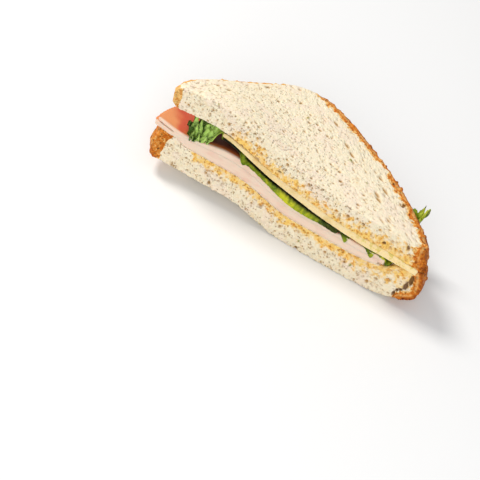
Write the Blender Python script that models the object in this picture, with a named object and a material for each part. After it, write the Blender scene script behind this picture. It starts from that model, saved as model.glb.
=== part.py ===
"""Half of a turkey and cheese sandwich, cut corner to corner and lying on its lower slice.

Frame: X runs along the cut, Y from the cut face to the crust corner opposite it, Z up.
All sizes are in millimetres until the last step.  Every layer is a height over the plan
(x, y), stacked on the one below with a small clearance, so the layers follow each other's bends.
The wedge stands open at its left end, where the lettuce frill and the turkey show.
"""

from math import acos, atan2, cos, exp, hypot, pi, radians, sin

import bmesh
import bpy
from mathutils import Vector, noise

MM = 0.001

# Loaf: the outline of one whole slice, its base edge along u and its domed crown at the top.
LOAF_WIDTH = 130.0
LOAF_SIDE = 97.0
LOAF_DOME = 6.0
BASE_RADIUS = 12.0
CUT_TURN = -1.0

# Slices: how far the cut passes from the slice's middle, plan shift along it, size factor and
# crown corner radius.
UPPER_SLICE = {"offset": 4.3, "shift": 0.0, "scale": 1.012, "crown_radius": 27.0}
LOWER_SLICE = {"offset": 6.5, "shift": -1.0, "scale": 1.042, "crown_radius": 22.0}
CRUST_BULGE = 2.2
RIM_DROP = 1.1
CRAG_HEIGHT = 1.1
CRAG_SIZE = 5.5

# Lower slice: flat where it rests, curled up towards both ends of the cut.
LOWER_THICKNESS = 15.5
LOWER_END_GAIN, LOWER_GAIN_START, LOWER_GAIN_RUN = 1.5, 35.0, 25.0
LEFT_LIFT, LEFT_LIFT_START, LEFT_LIFT_RUN, LEFT_LIFT_SLANT = 7.0, 2.0, 36.0, 0.8
RIGHT_LIFT, RIGHT_LIFT_START, RIGHT_LIFT_RUN = 5.0, 43.0, 27.0

# Upper slice: a plane through both ends of the cut that falls to the right and to the back,
# and how far the cut edge bows above or below it.
UPPER_HEIGHT = 45.9
UPPER_SLOPE = 0.124
UPPER_FALL = 0.07
UPPER_BOW = ((-80.0, -1.5), (-47.0, 4.3), (-14.0, 0.0), (18.0, -2.4), (52.0, -0.2), (76.0, 0.2))
BOW_DEPTH = 42.0
UPPER_THICKNESS = 13.4
UPPER_END_LOSS, UPPER_LOSS_START, UPPER_LOSS_RUN = 2.0, 40.0, 30.0

# Cheese: a square slice, cut along its diagonal with the sandwich.
CHEESE_SIDE = 84.0
CHEESE_MIDDLE = 11.0
CHEESE_THICKNESS = 2.6
CHEESE_CORNER = 3.0

# Turkey: two oval slices, thick where they ruck up and thin at their rims.
TURKEY_LOWER = {"middle": (-16.0, 0.0), "reach": (66.5, 52.0)}
TURKEY_UPPER = {"middle": (-14.5, 0.5), "reach": (68.0, 61.0)}
TURKEY_LOWER_THICKNESS = ((-86.0, 2.8), (-66.0, 2.5), (-40.0, 4.5), (8.0, 2.5), (22.0, 3.4), (56.0, 1.6))
TURKEY_UPPER_THICKNESS = ((-86.0, 2.0), (-66.0, 1.7), (-40.0, 4.2), (8.0, 2.1), (22.0, 3.0), (56.0, 1.5))
TURKEY_LEAST = 1.2
TURKEY_RISE, TURKEY_RISE_START, TURKEY_RISE_RUN = 2.6, -64.0, 20.0
TURKEY_FLOP, FLOP_START, FLOP_RUN = 2.0, -30.0, 50.0
FLOP_DEPTH_START, FLOP_DEPTH_RUN = 14.0, 30.0

# Lettuce: one frilly leaf between turkey and cheese.
LEAF_MIDDLE = (-5.5, 17.0)
LEAF_REACH = (67.0, 37.0)
LEAF_THICKNESS = 0.9
LEAF_DENT, LEAF_DENT_ANGLE, LEAF_DENT_SPREAD = 13.0, 166.0, 15.0
TONGUE_LENGTH, TONGUE_ANGLE, TONGUE_SPREAD = 13.0, 20.0, 5.0
TONGUE_RISE, TONGUE_RISE_START, TONGUE_RISE_RUN = 9.0, 57.0, 13.0
PAST_CRUST_X, PAST_CRUST_Y, PAST_CRUST_RUN = 40.0, 30.0, 6.0
FRILL_COUNT = 15
FRILL_DEPTH = 2.6
RUFFLE_LENGTH = 7.5
RUFFLE_DEPTH, RUFFLE_START = 0.65, 12.0

# Along the cut the leaf hangs down at its left frill, lies up under the cheese over a hollow,
# and shows on the right only at small frills (middle, width).
FRILL_END, HOLLOW_END, TURN_RUN = -46.0, -24.0, 4.0
HANG_START, HANG_RUN, FRILL_HANG_RUN = -0.4, 4.0, 7.0
HOLLOW_RECESS, HOLLOW_RECESS_START, HOLLOW_RECESS_END = 2.5, -50.0, -25.0
RIGHT_RECESS, RIGHT_RECESS_START, RIGHT_RECESS_RUN = 2.4, 12.0, 8.0
SMALL_FRILLS = ((27.0, 3.0), (41.0, 4.0), (52.0, 3.0))

# Where the rings of a layer shrink to.
MIDDLE = (-8.0, 22.0)
CHEESE_CORE = (11.0, 20.0)

CLEARANCE = 0.5
REST_CLEARANCE = 0.7
LEAF_CLEARANCE = 1.0
LEAF_ROOM = 2.8

MATERIALS = {
    "bread": ((0.80, 0.66, 0.47), 0.85),
    "turkey": ((0.80, 0.52, 0.40), 0.45),
    "cheese": ((0.86, 0.72, 0.40), 0.40),
    "lettuce": ((0.22, 0.40, 0.06), 0.50),
}


def clamp(value, low=0.0, high=1.0):
    return min(high, max(low, value))


def ease(t):
    """Smooth rise from 0 to 1 as t goes from 0 to 1."""
    t = clamp(t)
    return t * t * (3.0 - 2.0 * t)


def bump(x, middle, width):
    """A bell of height 1 round the middle."""
    return exp(-((x - middle) / width) ** 2)


def softer_min(a, b, blend=1.5):
    """The smaller of two heights, with the meeting rounded off."""
    h = clamp(0.5 + 0.5 * (b - a) / blend)
    return b + (a - b) * h - blend * h * (1.0 - h)


def through(stations, x):
    """A smooth curve through (x, value) stations, level past the first and the last."""
    last = len(stations) - 1
    if x <= stations[0][0]:
        return stations[0][1]
    if x >= stations[last][0]:
        return stations[last][1]
    k = max(i for i in range(last) if stations[i][0] <= x)

    def slope(i):
        before, after = stations[max(i - 1, 0)], stations[min(i + 1, last)]
        return (after[1] - before[1]) / (after[0] - before[0])

    (x0, v0), (x1, v1) = stations[k], stations[k + 1]
    run = x1 - x0
    t = (x - x0) / run
    rise = v1 - v0
    a = slope(k) * run - rise
    b = rise - slope(k + 1) * run
    return v0 + t * rise + t * (1.0 - t) * (a * (1.0 - t) + b * t)


# Heights of the layers over the plan.

def lower_underside(x, y):
    left = LEFT_LIFT * ease((LEFT_LIFT_START - LEFT_LIFT_SLANT * y - x) / LEFT_LIFT_RUN)
    right = RIGHT_LIFT * max(0.0, (x - RIGHT_LIFT_START) / RIGHT_LIFT_RUN) ** 2
    return left + right


def lower_top(x, y):
    gain = LOWER_END_GAIN * ease((x - LOWER_GAIN_START) / LOWER_GAIN_RUN)
    return lower_underside(x, y) + LOWER_THICKNESS + gain


def upper_top(x, y):
    bow = through(UPPER_BOW, x) * (1.0 - ease(y / BOW_DEPTH))
    return UPPER_HEIGHT - UPPER_SLOPE * x - UPPER_FALL * y + bow


def upper_underside(x, y):
    loss = UPPER_END_LOSS * ease((x - UPPER_LOSS_START) / UPPER_LOSS_RUN)
    return upper_top(x, y) - UPPER_THICKNESS + loss


def cheese_top(x, y):
    return upper_underside(x, y) - CLEARANCE


def cheese_underside(x, y):
    return cheese_top(x, y) - CHEESE_THICKNESS


def turkey_share(x, y):
    """How much of its full thickness the turkey keeps where the slices close on it."""
    full = through(TURKEY_LOWER_THICKNESS, x) + through(TURKEY_UPPER_THICKNESS, x)
    room = cheese_underside(x, y) - turkey_base(x, y) - CLEARANCE - LEAF_ROOM
    return softer_min(full, max(room, TURKEY_LEAST)) / full


def turkey_base(x, y):
    rise = TURKEY_RISE * ease((TURKEY_RISE_START - x) / TURKEY_RISE_RUN)
    flop = TURKEY_FLOP * ease((FLOP_START - x) / FLOP_RUN)
    flop *= ease((y - FLOP_DEPTH_START) / FLOP_DEPTH_RUN)
    return lower_top(x, y) + REST_CLEARANCE + rise - min(flop, rise)


def turkey_seam(x, y):
    return turkey_base(x, y) + through(TURKEY_LOWER_THICKNESS, x) * turkey_share(x, y)


def turkey_upper_base(x, y):
    return turkey_seam(x, y) + CLEARANCE


def turkey_top(x, y):
    return turkey_upper_base(x, y) + through(TURKEY_UPPER_THICKNESS, x) * turkey_share(x, y)


def leaf_share(x, y):
    """Where the leaf hangs between the turkey (0) and the cheese (1)."""
    frill = ease((FRILL_END - x) / TURN_RUN)
    hollow = ease((HOLLOW_END - x) / TURN_RUN) * (1.0 - frill)
    hang = ease((y - HANG_START) / (HANG_RUN + frill * FRILL_HANG_RUN))
    level = hollow + (1.0 - hollow) * hang
    wave = sin(2.0 * pi * x / RUFFLE_LENGTH + 1.7 * sin(y / 5.0)) * cos(y / 4.2 + 0.6)
    ruffle = RUFFLE_DEPTH * ease(y / RUFFLE_START) * (0.5 + 0.5 * wave)
    return clamp(level * (1.0 - ruffle), 0.02, 0.98)


def leaf_underside(x, y):
    low = turkey_top(x, y) + CLEARANCE
    high = cheese_underside(x, y) - LEAF_CLEARANCE - LEAF_THICKNESS
    reach = hypot(x - LEAF_MIDDLE[0], y - LEAF_MIDDLE[1])
    past_crust = ease((y - PAST_CRUST_Y) / PAST_CRUST_RUN) * ease((x - PAST_CRUST_X) / PAST_CRUST_RUN)
    rise = TONGUE_RISE * ease((reach - TONGUE_RISE_START) / TONGUE_RISE_RUN) * past_crust
    return low + leaf_share(x, y) * max(high - low, 0.0) + rise


def leaf_top(x, y):
    return leaf_underside(x, y) + LEAF_THICKNESS


# Plan outlines, counterclockwise seen from above.

def arc(middle, radius, start, end, steps):
    """Points on a circular arc, angles in degrees."""
    angles = [radians(start + (end - start) * k / steps) for k in range(steps + 1)]
    return [(middle[0] + radius * cos(a), middle[1] + radius * sin(a)) for a in angles]


def loaf_outline(crown_radius, steps=24):
    """One whole slice: rounded base corners, straight sides, crown corners and a low dome."""
    half = LOAF_WIDTH / 2.0
    base_middle = half - BASE_RADIUS
    points = arc((-base_middle, BASE_RADIUS), BASE_RADIUS, 180.0, 270.0, steps)
    points += arc((base_middle, BASE_RADIUS), BASE_RADIUS, 270.0, 360.0, steps)
    crown = arc((half - crown_radius, LOAF_SIDE - crown_radius), crown_radius, 0.0, 70.0, steps)
    points += crown
    reach, spring = crown[-1]
    for k in range(1, steps):
        u = reach * (1.0 - 2.0 * k / steps)
        points.append((u, spring + LOAF_DOME * (1.0 - (u / reach) ** 2)))
    points += arc((crown_radius - half, LOAF_SIDE - crown_radius), crown_radius, 110.0, 180.0, steps)
    return points


def slice_outline(offset, shift, scale, crown_radius):
    """The loaf turned until its diagonal lies along X."""
    turn = atan2(LOAF_SIDE, LOAF_WIDTH) + radians(CUT_TURN)
    points = []
    for u, v in loaf_outline(crown_radius):
        v -= LOAF_SIDE / 2.0
        x = scale * (u * cos(turn) + v * sin(turn)) + shift
        y = scale * (v * cos(turn) - u * sin(turn)) + offset
        points.append((x, y))
    return points


def cheese_outline():
    """The whole square with rounded corners, one diagonal along X."""
    half = CHEESE_SIDE / 2.0
    inner = half - CHEESE_CORNER
    corners = ((-inner, -inner, 180.0), (inner, -inner, 270.0), (inner, inner, 0.0), (-inner, inner, 90.0))
    points = []
    for u, v, start in corners:
        points += arc((u, v), CHEESE_CORNER, start, start + 90.0, 6)
    root = cos(pi / 4.0)
    return [(CHEESE_MIDDLE + (u + v) * root, (v - u) * root) for u, v in points]


def turkey_outline(middle, reach, waves, steps=180):
    """An oval with an uneven rim."""
    points = []
    for k in range(steps):
        a = 2.0 * pi * k / steps
        swell = 1.0 + 0.018 * sin(waves * a) + 0.012 * sin((waves + 3) * a + 1.0)
        points.append((middle[0] + reach[0] * swell * cos(a), middle[1] + reach[1] * swell * sin(a)))
    return points


def leaf_outline(steps=720):
    """An oval leaf with a scalloped margin, dented on the left; one tongue reaches past the crust."""
    points = []
    for k in range(steps):
        a = 2.0 * pi * k / steps
        scallop = FRILL_DEPTH * abs(sin(FRILL_COUNT * a / 2.0)) + 1.2 * sin(2.3 * FRILL_COUNT * a)
        tongue = TONGUE_LENGTH * bump(a, radians(TONGUE_ANGLE), radians(TONGUE_SPREAD))
        dent = LEAF_DENT * bump(a, radians(LEAF_DENT_ANGLE), radians(LEAF_DENT_SPREAD))
        oval = 1.0 / hypot(cos(a) / LEAF_REACH[0], sin(a) / LEAF_REACH[1])
        radius = oval - FRILL_DEPTH + scallop + tongue - dent
        points.append((LEAF_MIDDLE[0] + radius * cos(a), LEAF_MIDDLE[1] + radius * sin(a)))
    return points


def evenly(points, count):
    """Resample an open line to the given number of points, both ends kept."""
    lengths = [0.0]
    for (x0, y0), (x1, y1) in zip(points, points[1:]):
        lengths.append(lengths[-1] + hypot(x1 - x0, y1 - y0))
    result = []
    k = 0
    for i in range(count):
        want = lengths[-1] * i / (count - 1)
        while k < len(points) - 2 and lengths[k + 1] < want:
            k += 1
        step = lengths[k + 1] - lengths[k]
        t = (want - lengths[k]) / step if step else 0.0
        (x0, y0), (x1, y1) = points[k], points[k + 1]
        result.append((x0 + t * (x1 - x0), y0 + t * (y1 - y0)))
    return result


def cut_half(outline, cut_points, rim_points, front=0.0):
    """Keep the side of an outline behind the cut line.

    The result starts at the left end of the cut, follows the cut to its right end and then
    the rim back.  The cut takes cut_points steps and the rim rim_points steps.
    """
    count = len(outline)
    crossings = {}
    for k in range(count):
        (x0, y0), (x1, y1) = outline[k], outline[(k + 1) % count]
        if (y0 < front) != (y1 < front):
            t = (front - y0) / (y1 - y0)
            crossings["right" if y0 < front else "left"] = (k, (x0 + t * (x1 - x0), front))
    start, right = crossings["right"]
    end, left = crossings["left"]
    rim = [right]
    k = (start + 1) % count
    while k != (end + 1) % count:
        rim.append(outline[k])
        k = (k + 1) % count
    rim.append(left)
    cut = evenly([left, right], cut_points + 1)
    return cut[:-1] + evenly(rim, rim_points + 1)[:-1]


def outward(points, k, cut_points):
    """Unit normal in plan at a rim point; the ends of the cut take the rim's own normal."""
    count = len(points)
    before, after = points[k - 1], points[(k + 1) % count]
    if k == 0:
        after = points[0]
    if k == cut_points:
        before = points[cut_points]
    dx, dy = after[0] - before[0], after[1] - before[1]
    length = hypot(dx, dy)
    return dy / length, -dx / length


# Solids.

def slab(name, outline, cut_points, underside, top, rings, walls,
         rim=None, relief=None, middle=MIDDLE):
    """A layer: a ball's rows become rings on the top face, rows down the wall and rings below.

    rim is the drop of the edge away from the cut and relief(x, y, level) how far the wall
    stands out there.  Both faces are split into triangles alike.
    """
    columns = len(outline)
    rows = 2 * rings + walls
    middle_x, middle_y = middle
    mesh = bpy.data.meshes.new(name)
    bm = bmesh.new()
    bmesh.ops.create_uvsphere(bm, u_segments=columns, v_segments=rows, radius=1.0)
    place = {}
    for vert in bm.verts:
        row = round(acos(clamp(vert.co.z, -1.0, 1.0)) * rows / pi)
        column = round(atan2(vert.co.y, vert.co.x) * columns / (2.0 * pi)) % columns
        place[vert] = (row, column)
    for vert, (row, column) in place.items():
        x, y = outline[column]
        on_crust = column == 0 or column >= cut_points
        drop = rim if rim and on_crust else 0.0
        if rings < row < rings + walls:
            level = 1.0 - (row - rings) / walls
            low, high = underside(x, y) + drop, top(x, y) - drop
            if relief and on_crust:
                nx, ny = outward(outline, column, cut_points)
                out = relief(x, y, level)
                x, y = x + nx * out, y + ny * out
            z = low + (high - low) * level
        else:
            ring = min(row, rows - row)
            share = ring / rings
            if rim:
                share = 1.0 if ring == rings else 0.965 * ring / (rings - 1)
            x = middle_x + share * (x - middle_x)
            y = middle_y + share * (y - middle_y)
            drop = drop if ring == rings else 0.0
            z = top(x, y) - drop if row <= rings else underside(x, y) + drop
        vert.co = (x, y, z)
    for face in [f for f in bm.faces if len(f.verts) == 4]:
        split_alike(face, place, rows, columns)
    bm.to_mesh(mesh)
    bm.free()
    piece = bpy.data.objects.new(name, mesh)
    bpy.context.scene.collection.objects.link(piece)
    return piece


def split_alike(face, place, rows, columns):
    """Cut a quad from its inner ring's first column to its outer ring's second column."""
    found = [place[v][1] for v in face.verts]
    first = min(found) if max(found) - min(found) == 1 else columns - 1
    inner = min(min(place[v][0], rows - place[v][0]) for v in face.verts)

    def corner(on_inner, on_first):
        for v in face.verts:
            ring = min(place[v][0], rows - place[v][0])
            if (ring == inner) == on_inner and (place[v][1] == first) == on_first:
                return v
        return None

    a, b = corner(True, True), corner(False, False)
    if a is None or b is None:
        a, b = face.verts[0], face.verts[2]
    bmesh.utils.face_split(face, a, b)


def crust_relief(seed):
    """The crust's bulge and crags."""
    def relief(x, y, level):
        bulge = CRUST_BULGE * 4.0 * level * (1.0 - level)
        spot = Vector((x / CRAG_SIZE + seed, y / CRAG_SIZE, level * 2.6))
        crag = noise.noise(spot) + 0.5 * noise.noise(spot * 2.3)
        return bulge + CRAG_HEIGHT * crag
    return relief


def build_bread():
    cut_points, rim_points = 34, 50
    lower = cut_half(slice_outline(**LOWER_SLICE), cut_points, rim_points)
    upper = cut_half(slice_outline(**UPPER_SLICE), cut_points, rim_points)
    return {
        "bread_bottom": slab("bread_bottom", lower, cut_points, lower_underside, lower_top,
                             7, 5, RIM_DROP, crust_relief(3.0)),
        "bread_top": slab("bread_top", upper, cut_points, upper_underside, upper_top,
                          7, 5, RIM_DROP, crust_relief(17.0)),
    }


def build_turkey():
    cut_points, rim_points = 28, 28
    lower = cut_half(turkey_outline(**TURKEY_LOWER, waves=5), cut_points, rim_points, 0.2)
    upper = cut_half(turkey_outline(**TURKEY_UPPER, waves=4), cut_points, rim_points, 0.5)
    return {
        "turkey_slice_lower": slab("turkey_slice_lower", lower, cut_points,
                                   turkey_base, turkey_seam, 7, 2),
        "turkey_slice_upper": slab("turkey_slice_upper", upper, cut_points,
                                   turkey_upper_base, turkey_top, 7, 2),
    }


def build_cheese():
    cut_points, rim_points = 26, 26
    outline = cut_half(cheese_outline(), cut_points, rim_points, -0.3)
    return {"cheese_slice": slab("cheese_slice", outline, cut_points,
                                 cheese_underside, cheese_top, 7, 1, middle=CHEESE_CORE)}


def leaf_recess(x):
    """How far the leaf's edge lies behind the cut: at the hollow, and on the right between frills."""
    hollow = HOLLOW_RECESS * ease((HOLLOW_RECESS_END - x) / TURN_RUN)
    hollow *= ease((x - HOLLOW_RECESS_START) / TURN_RUN)
    right = RIGHT_RECESS * ease((x - RIGHT_RECESS_START) / RIGHT_RECESS_RUN)
    right *= 1.0 - sum(bump(x, middle, width) for middle, width in SMALL_FRILLS)
    return hollow + max(right, 0.0)


def build_lettuce():
    cut_points, rim_points = 44, 92
    outline = cut_half(leaf_outline(), cut_points, rim_points, -0.1)
    front = [(x, y + leaf_recess(x)) for x, y in outline[:cut_points + 1]]
    outline = front + outline[cut_points + 1:]
    return {"lettuce_leaf": slab("lettuce_leaf", outline, cut_points,
                                 leaf_underside, leaf_top, 5, 1, middle=LEAF_MIDDLE)}


def material(name):
    colour, roughness = MATERIALS[name]
    made = bpy.data.materials.new(name)
    made.use_nodes = True
    shader = made.node_tree.nodes["Principled BSDF"]
    shader.inputs["Base Color"].default_value = (*colour, 1.0)
    shader.inputs["Roughness"].default_value = roughness
    shader.inputs["Metallic"].default_value = 0.0
    return made


def settle(pieces):
    """To metres, with the origin under the middle of the sandwich."""
    corners = [vert.co for piece in pieces for vert in piece.data.vertices]
    middle_x = (min(c.x for c in corners) + max(c.x for c in corners)) / 2.0
    middle_y = (min(c.y for c in corners) + max(c.y for c in corners)) / 2.0
    lowest = min(c.z for c in corners)
    for piece in pieces:
        for vert in piece.data.vertices:
            vert.co = (vert.co - Vector((middle_x, middle_y, lowest))) * MM
        piece.data.update()


def main():
    for thing in list(bpy.data.objects):
        bpy.data.objects.remove(thing, do_unlink=True)
    pieces = {}
    for build, finish in ((build_bread, "bread"), (build_turkey, "turkey"),
                          (build_cheese, "cheese"), (build_lettuce, "lettuce")):
        for name, piece in build().items():
            piece.data.materials.append(material(finish))
            pieces[name] = piece
    settle(pieces.values())


main()
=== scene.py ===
"""Half of a turkey and cheese sandwich: the looks of every layer, laid over its solids.

Lengths are metres in the frame of the solids.  Each layer is shaped in sandwich millimetres:
X along the cut, Y from the cut face to the crust corner, Z up; TO_ROW takes them to metres.
"""

from math import cos, exp, hypot, pi, radians, sin

import bmesh
import bpy
from bpy.props import FloatProperty, FloatVectorProperty, PointerProperty
from mathutils import Matrix, Vector, noise
from mathutils.bvhtree import BVHTree


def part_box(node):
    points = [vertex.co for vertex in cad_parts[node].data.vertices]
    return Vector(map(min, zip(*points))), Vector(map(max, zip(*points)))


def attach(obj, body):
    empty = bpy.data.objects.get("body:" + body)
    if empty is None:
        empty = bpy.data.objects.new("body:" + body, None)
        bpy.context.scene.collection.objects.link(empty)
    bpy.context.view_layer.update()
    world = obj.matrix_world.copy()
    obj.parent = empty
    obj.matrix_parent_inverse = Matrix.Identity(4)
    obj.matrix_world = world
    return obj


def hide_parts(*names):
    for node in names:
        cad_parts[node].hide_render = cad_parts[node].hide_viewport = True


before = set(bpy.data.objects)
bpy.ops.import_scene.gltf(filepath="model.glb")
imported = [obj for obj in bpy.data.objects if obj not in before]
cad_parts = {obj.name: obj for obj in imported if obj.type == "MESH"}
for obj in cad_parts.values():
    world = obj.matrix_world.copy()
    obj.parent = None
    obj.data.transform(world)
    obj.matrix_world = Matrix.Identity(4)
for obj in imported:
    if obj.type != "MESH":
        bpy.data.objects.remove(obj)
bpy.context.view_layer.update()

bl_info = {
    "name": "Turkey and cheese sandwich",
    "version": (1, 0, 0),
    "blender": (4, 5, 0),
    "location": "3D View > Sidebar > Sandwich",
    "description": "Bread, turkey, cheese and lettuce of half a sandwich, and its stage",
    "category": "Add Mesh",
}

MM = 0.001

# Where sandwich millimetres start, from the cheese: its middle along the cut and its cut edge.
CHEESE_MIDDLE = 11.0
CHEESE_PROUD = 0.3
CHEESE_LOW, CHEESE_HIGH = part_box("cheese_slice")
CUT_START = Vector(((CHEESE_LOW.x + CHEESE_HIGH.x) / 2.0 - CHEESE_MIDDLE * MM,
                    CHEESE_LOW.y + CHEESE_PROUD * MM, 0.0))
TO_ROW = Matrix.Translation(CUT_START) @ Matrix.Scale(MM, 4)
TO_SANDWICH = TO_ROW.inverted()

# The loaf that the bread was sliced from, seen in plan: how far its axes are turned from the
# cut, and how far its crown and its side lie from the middle of the cut.
LOAF_TURN = radians(35.7)
CROWN_REACH = 49.0
SIDE_REACH = 65.0

# How near to each other points merge, in metres on a solid and in millimetres on the leaf.
MERGE, LEAF_MERGE = 1e-6, 1e-4

# Which of a solid's faces are cut and which are broad: by a part of their normal and by depth.
CUT_NORMAL, CUT_DEPTH, STEEPEST_SLICE = 0.9, 1.5, 0.55

# The dressed faces: their size in each layer, the passes that smooth them, the bends that joined
# faces may have, and how near an end of the cut a corner stays sharp.
CRUMB_FACE, TURKEY_FACE, CHEESE_FACE = 0.52, 0.45, 0.42
CRUMB_PASSES, LAYER_PASSES, LAYER_ROUNDS = 5, 3, 2
SMOOTHING = 0.5
FLAT_BEND, SHAPE_BEND = radians(50.0), radians(120.0)
CORNER_REACH = 0.6


def srgb(red, green, blue):
    """A colour given from 0 to 255, as the linear values that materials take."""
    def linear(value):
        share = value / 255.0
        return share / 12.92 if share <= 0.04045 else ((share + 0.055) / 1.055) ** 2.4
    return tuple(linear(value) for value in (red, green, blue))


def colour(name, description, red, green, blue):
    return FloatVectorProperty(name=name, description=description, subtype="COLOR", size=3,
                               min=0.0, max=1.0, default=srgb(red, green, blue))


def length(name, description, millimetres):
    return FloatProperty(name=name, description=description, unit="LENGTH", subtype="DISTANCE",
                         min=0.0, default=millimetres * MM)


class SandwichSizes(bpy.types.PropertyGroup):
    """Sizes of the relief and of the leaf."""
    crust_depth: length("Crust depth", "How deep the browned skin of the bread goes", 1.9)
    hole_depth: length("Hole depth", "Depth of the crumb's holes on the cut face", 1.15)
    crag_height: length("Crag height", "How far the crust's blisters stand out", 0.55)
    leaf_thickness: length("Leaf thickness", "Thickness of the lettuce leaf", 0.45)
    leaf_curl: length("Leaf curl", "How far the leaf's margin sways sideways", 0.8)


class SandwichColours(bpy.types.PropertyGroup):
    """Colours of the food."""
    crumb: colour("Crumb", "The bread's inside", 247, 234, 205)
    crumb_warm: colour("Warm crumb", "The darker patches of the bread's inside", 236, 205, 156)
    crumb_rosy: colour("Rosy crumb", "Patches of the inside with less yellow", 246, 226, 204)
    # Painted shade: the crumb darkened inside its holes and pits.
    hole: colour("Hole", "The walls of the crumb's holes", 184, 142, 86)
    bran: colour("Bran", "Flecks of grain in the crumb", 176, 120, 62)
    seed: colour("Seed", "Small green-brown seeds in the crumb", 140, 138, 40)
    spread: colour("Spread", "Bread that soaked up the yellow spread", 250, 204, 98)
    spread_deep: colour("Deep spread", "Spread standing in the crumb's holes", 216, 122, 24)
    crust_pale: colour("Pale crust", "Where crust meets crumb", 246, 200, 122)
    crust_tan: colour("Tan crust", "The crust between its blisters", 226, 134, 34)
    crust_brown: colour("Brown crust", "The browner patches of the crust", 190, 90, 14)
    # Also the crown's darker outer wall: partly its bake, partly painted shade.
    crust_dark: colour("Dark crust", "Blisters and specks of the crust", 84, 34, 6)
    # Painted shade: the dark inside the named hollows and deep cracks.
    gash: colour("Gash", "The inside of the deep cracks", 112, 70, 28)
    turkey_cut: colour("Turkey cut", "The cut edge of the turkey", 229, 204, 182)
    # Its red is partly the cured colour and partly painted shade toward the bread.
    turkey_face: colour("Turkey face", "The broad face of a turkey slice", 204, 88, 56)
    # Partly painted light: paler at the left end, where the face stands out of the bread.
    turkey_pale: colour("Pale turkey", "Paler patches on the face", 226, 150, 96)
    # Painted shade on the turkey's face where it runs in under the cheese.
    turkey_shade: colour("Deep turkey", "The face where it runs in under the cheese", 104, 50, 34)
    turkey_skin: colour("Turkey skin", "The smoked rim of a turkey slice", 216, 124, 46)
    cheese: colour("Cheese", "The cheese slice", 238, 214, 164)
    cheese_edge: colour("Cheese edge", "Slightly deeper tone in patches", 214, 182, 112)
    cheese_pale: colour("Pale cheese", "The slice near its crust end", 244, 220, 166)
    cheese_spot: colour("Cheese spot", "Yellow-green spots near the crust end", 206, 184, 74)
    # Also painted light: the frill's lit facet and the raised folds of its margin.
    leaf_light: colour("Light leaf", "Ribs and thin parts of the leaf", 200, 200, 34)
    leaf_fresh: colour("Fresh leaf", "The frills that stand out of the sandwich", 180, 216, 108)
    leaf_mid: colour("Leaf", "The leaf's blade", 128, 148, 18)
    leaf_dark: colour("Dark leaf", "The leaf's frilled margin", 44, 74, 4)
    leaf_shade: colour("Leaf in shade", "The leaf where it runs in between the layers", 22, 26, 8)


# Small shapes of numbers.

def clamp(value, low=0.0, high=1.0):
    return min(high, max(low, value))


def ease(t):
    """Smooth rise from 0 to 1 as t goes from 0 to 1."""
    t = clamp(t)
    return t * t * (3.0 - 2.0 * t)


def past(value, ramp):
    """0 before a ramp's start, 1 its run farther on; a run below 0 leads the other way."""
    start, run = ramp
    return ease((value - start) / run)


def until(value, ramp):
    """1 before a ramp's start, 0 its run farther on."""
    return 1.0 - past(value, ramp)


def bump(x, middle, width):
    """A bell of height 1 round the middle."""
    return exp(-((x - middle) / width) ** 2)


LOT_SPREAD, SECOND_LOT = 13.7, 1.9


def lot(centre):
    """A fixed lot from 0 to 1 for one centre of a scatter."""
    return 0.5 + 0.5 * noise.cell(centre * LOT_SPREAD)


# Materials.

class Value:
    """A number that varies over a surface; arithmetic on it adds Math nodes."""

    def __init__(self, finish, socket):
        self.finish = finish
        self.socket = socket

    def maths(self, operation, first, second):
        node = self.finish.node("ShaderNodeMath", {"operation": operation}, {0: first, 1: second})
        return Value(self.finish, node.outputs[0])

    def __add__(self, other):
        return self.maths("ADD", self, other)

    def __mul__(self, other):
        return self.maths("MULTIPLY", self, other)

    def __sub__(self, other):
        return self.maths("SUBTRACT", self, other)

    def __rsub__(self, other):
        return self.maths("SUBTRACT", other, self)

    __radd__ = __add__
    __rmul__ = __mul__

    def larger(self, other):
        return self.maths("MAXIMUM", self, other)

    def rise(self, low, high, top=1.0):
        """0 below low, top above high, smooth between."""
        node = self.finish.node(
            "ShaderNodeMapRange", {"interpolation_type": "SMOOTHSTEP"},
            {"Value": self, "From Min": low, "From Max": high, "To Min": 0.0, "To Max": top})
        return Value(self.finish, node.outputs[0])


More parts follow.
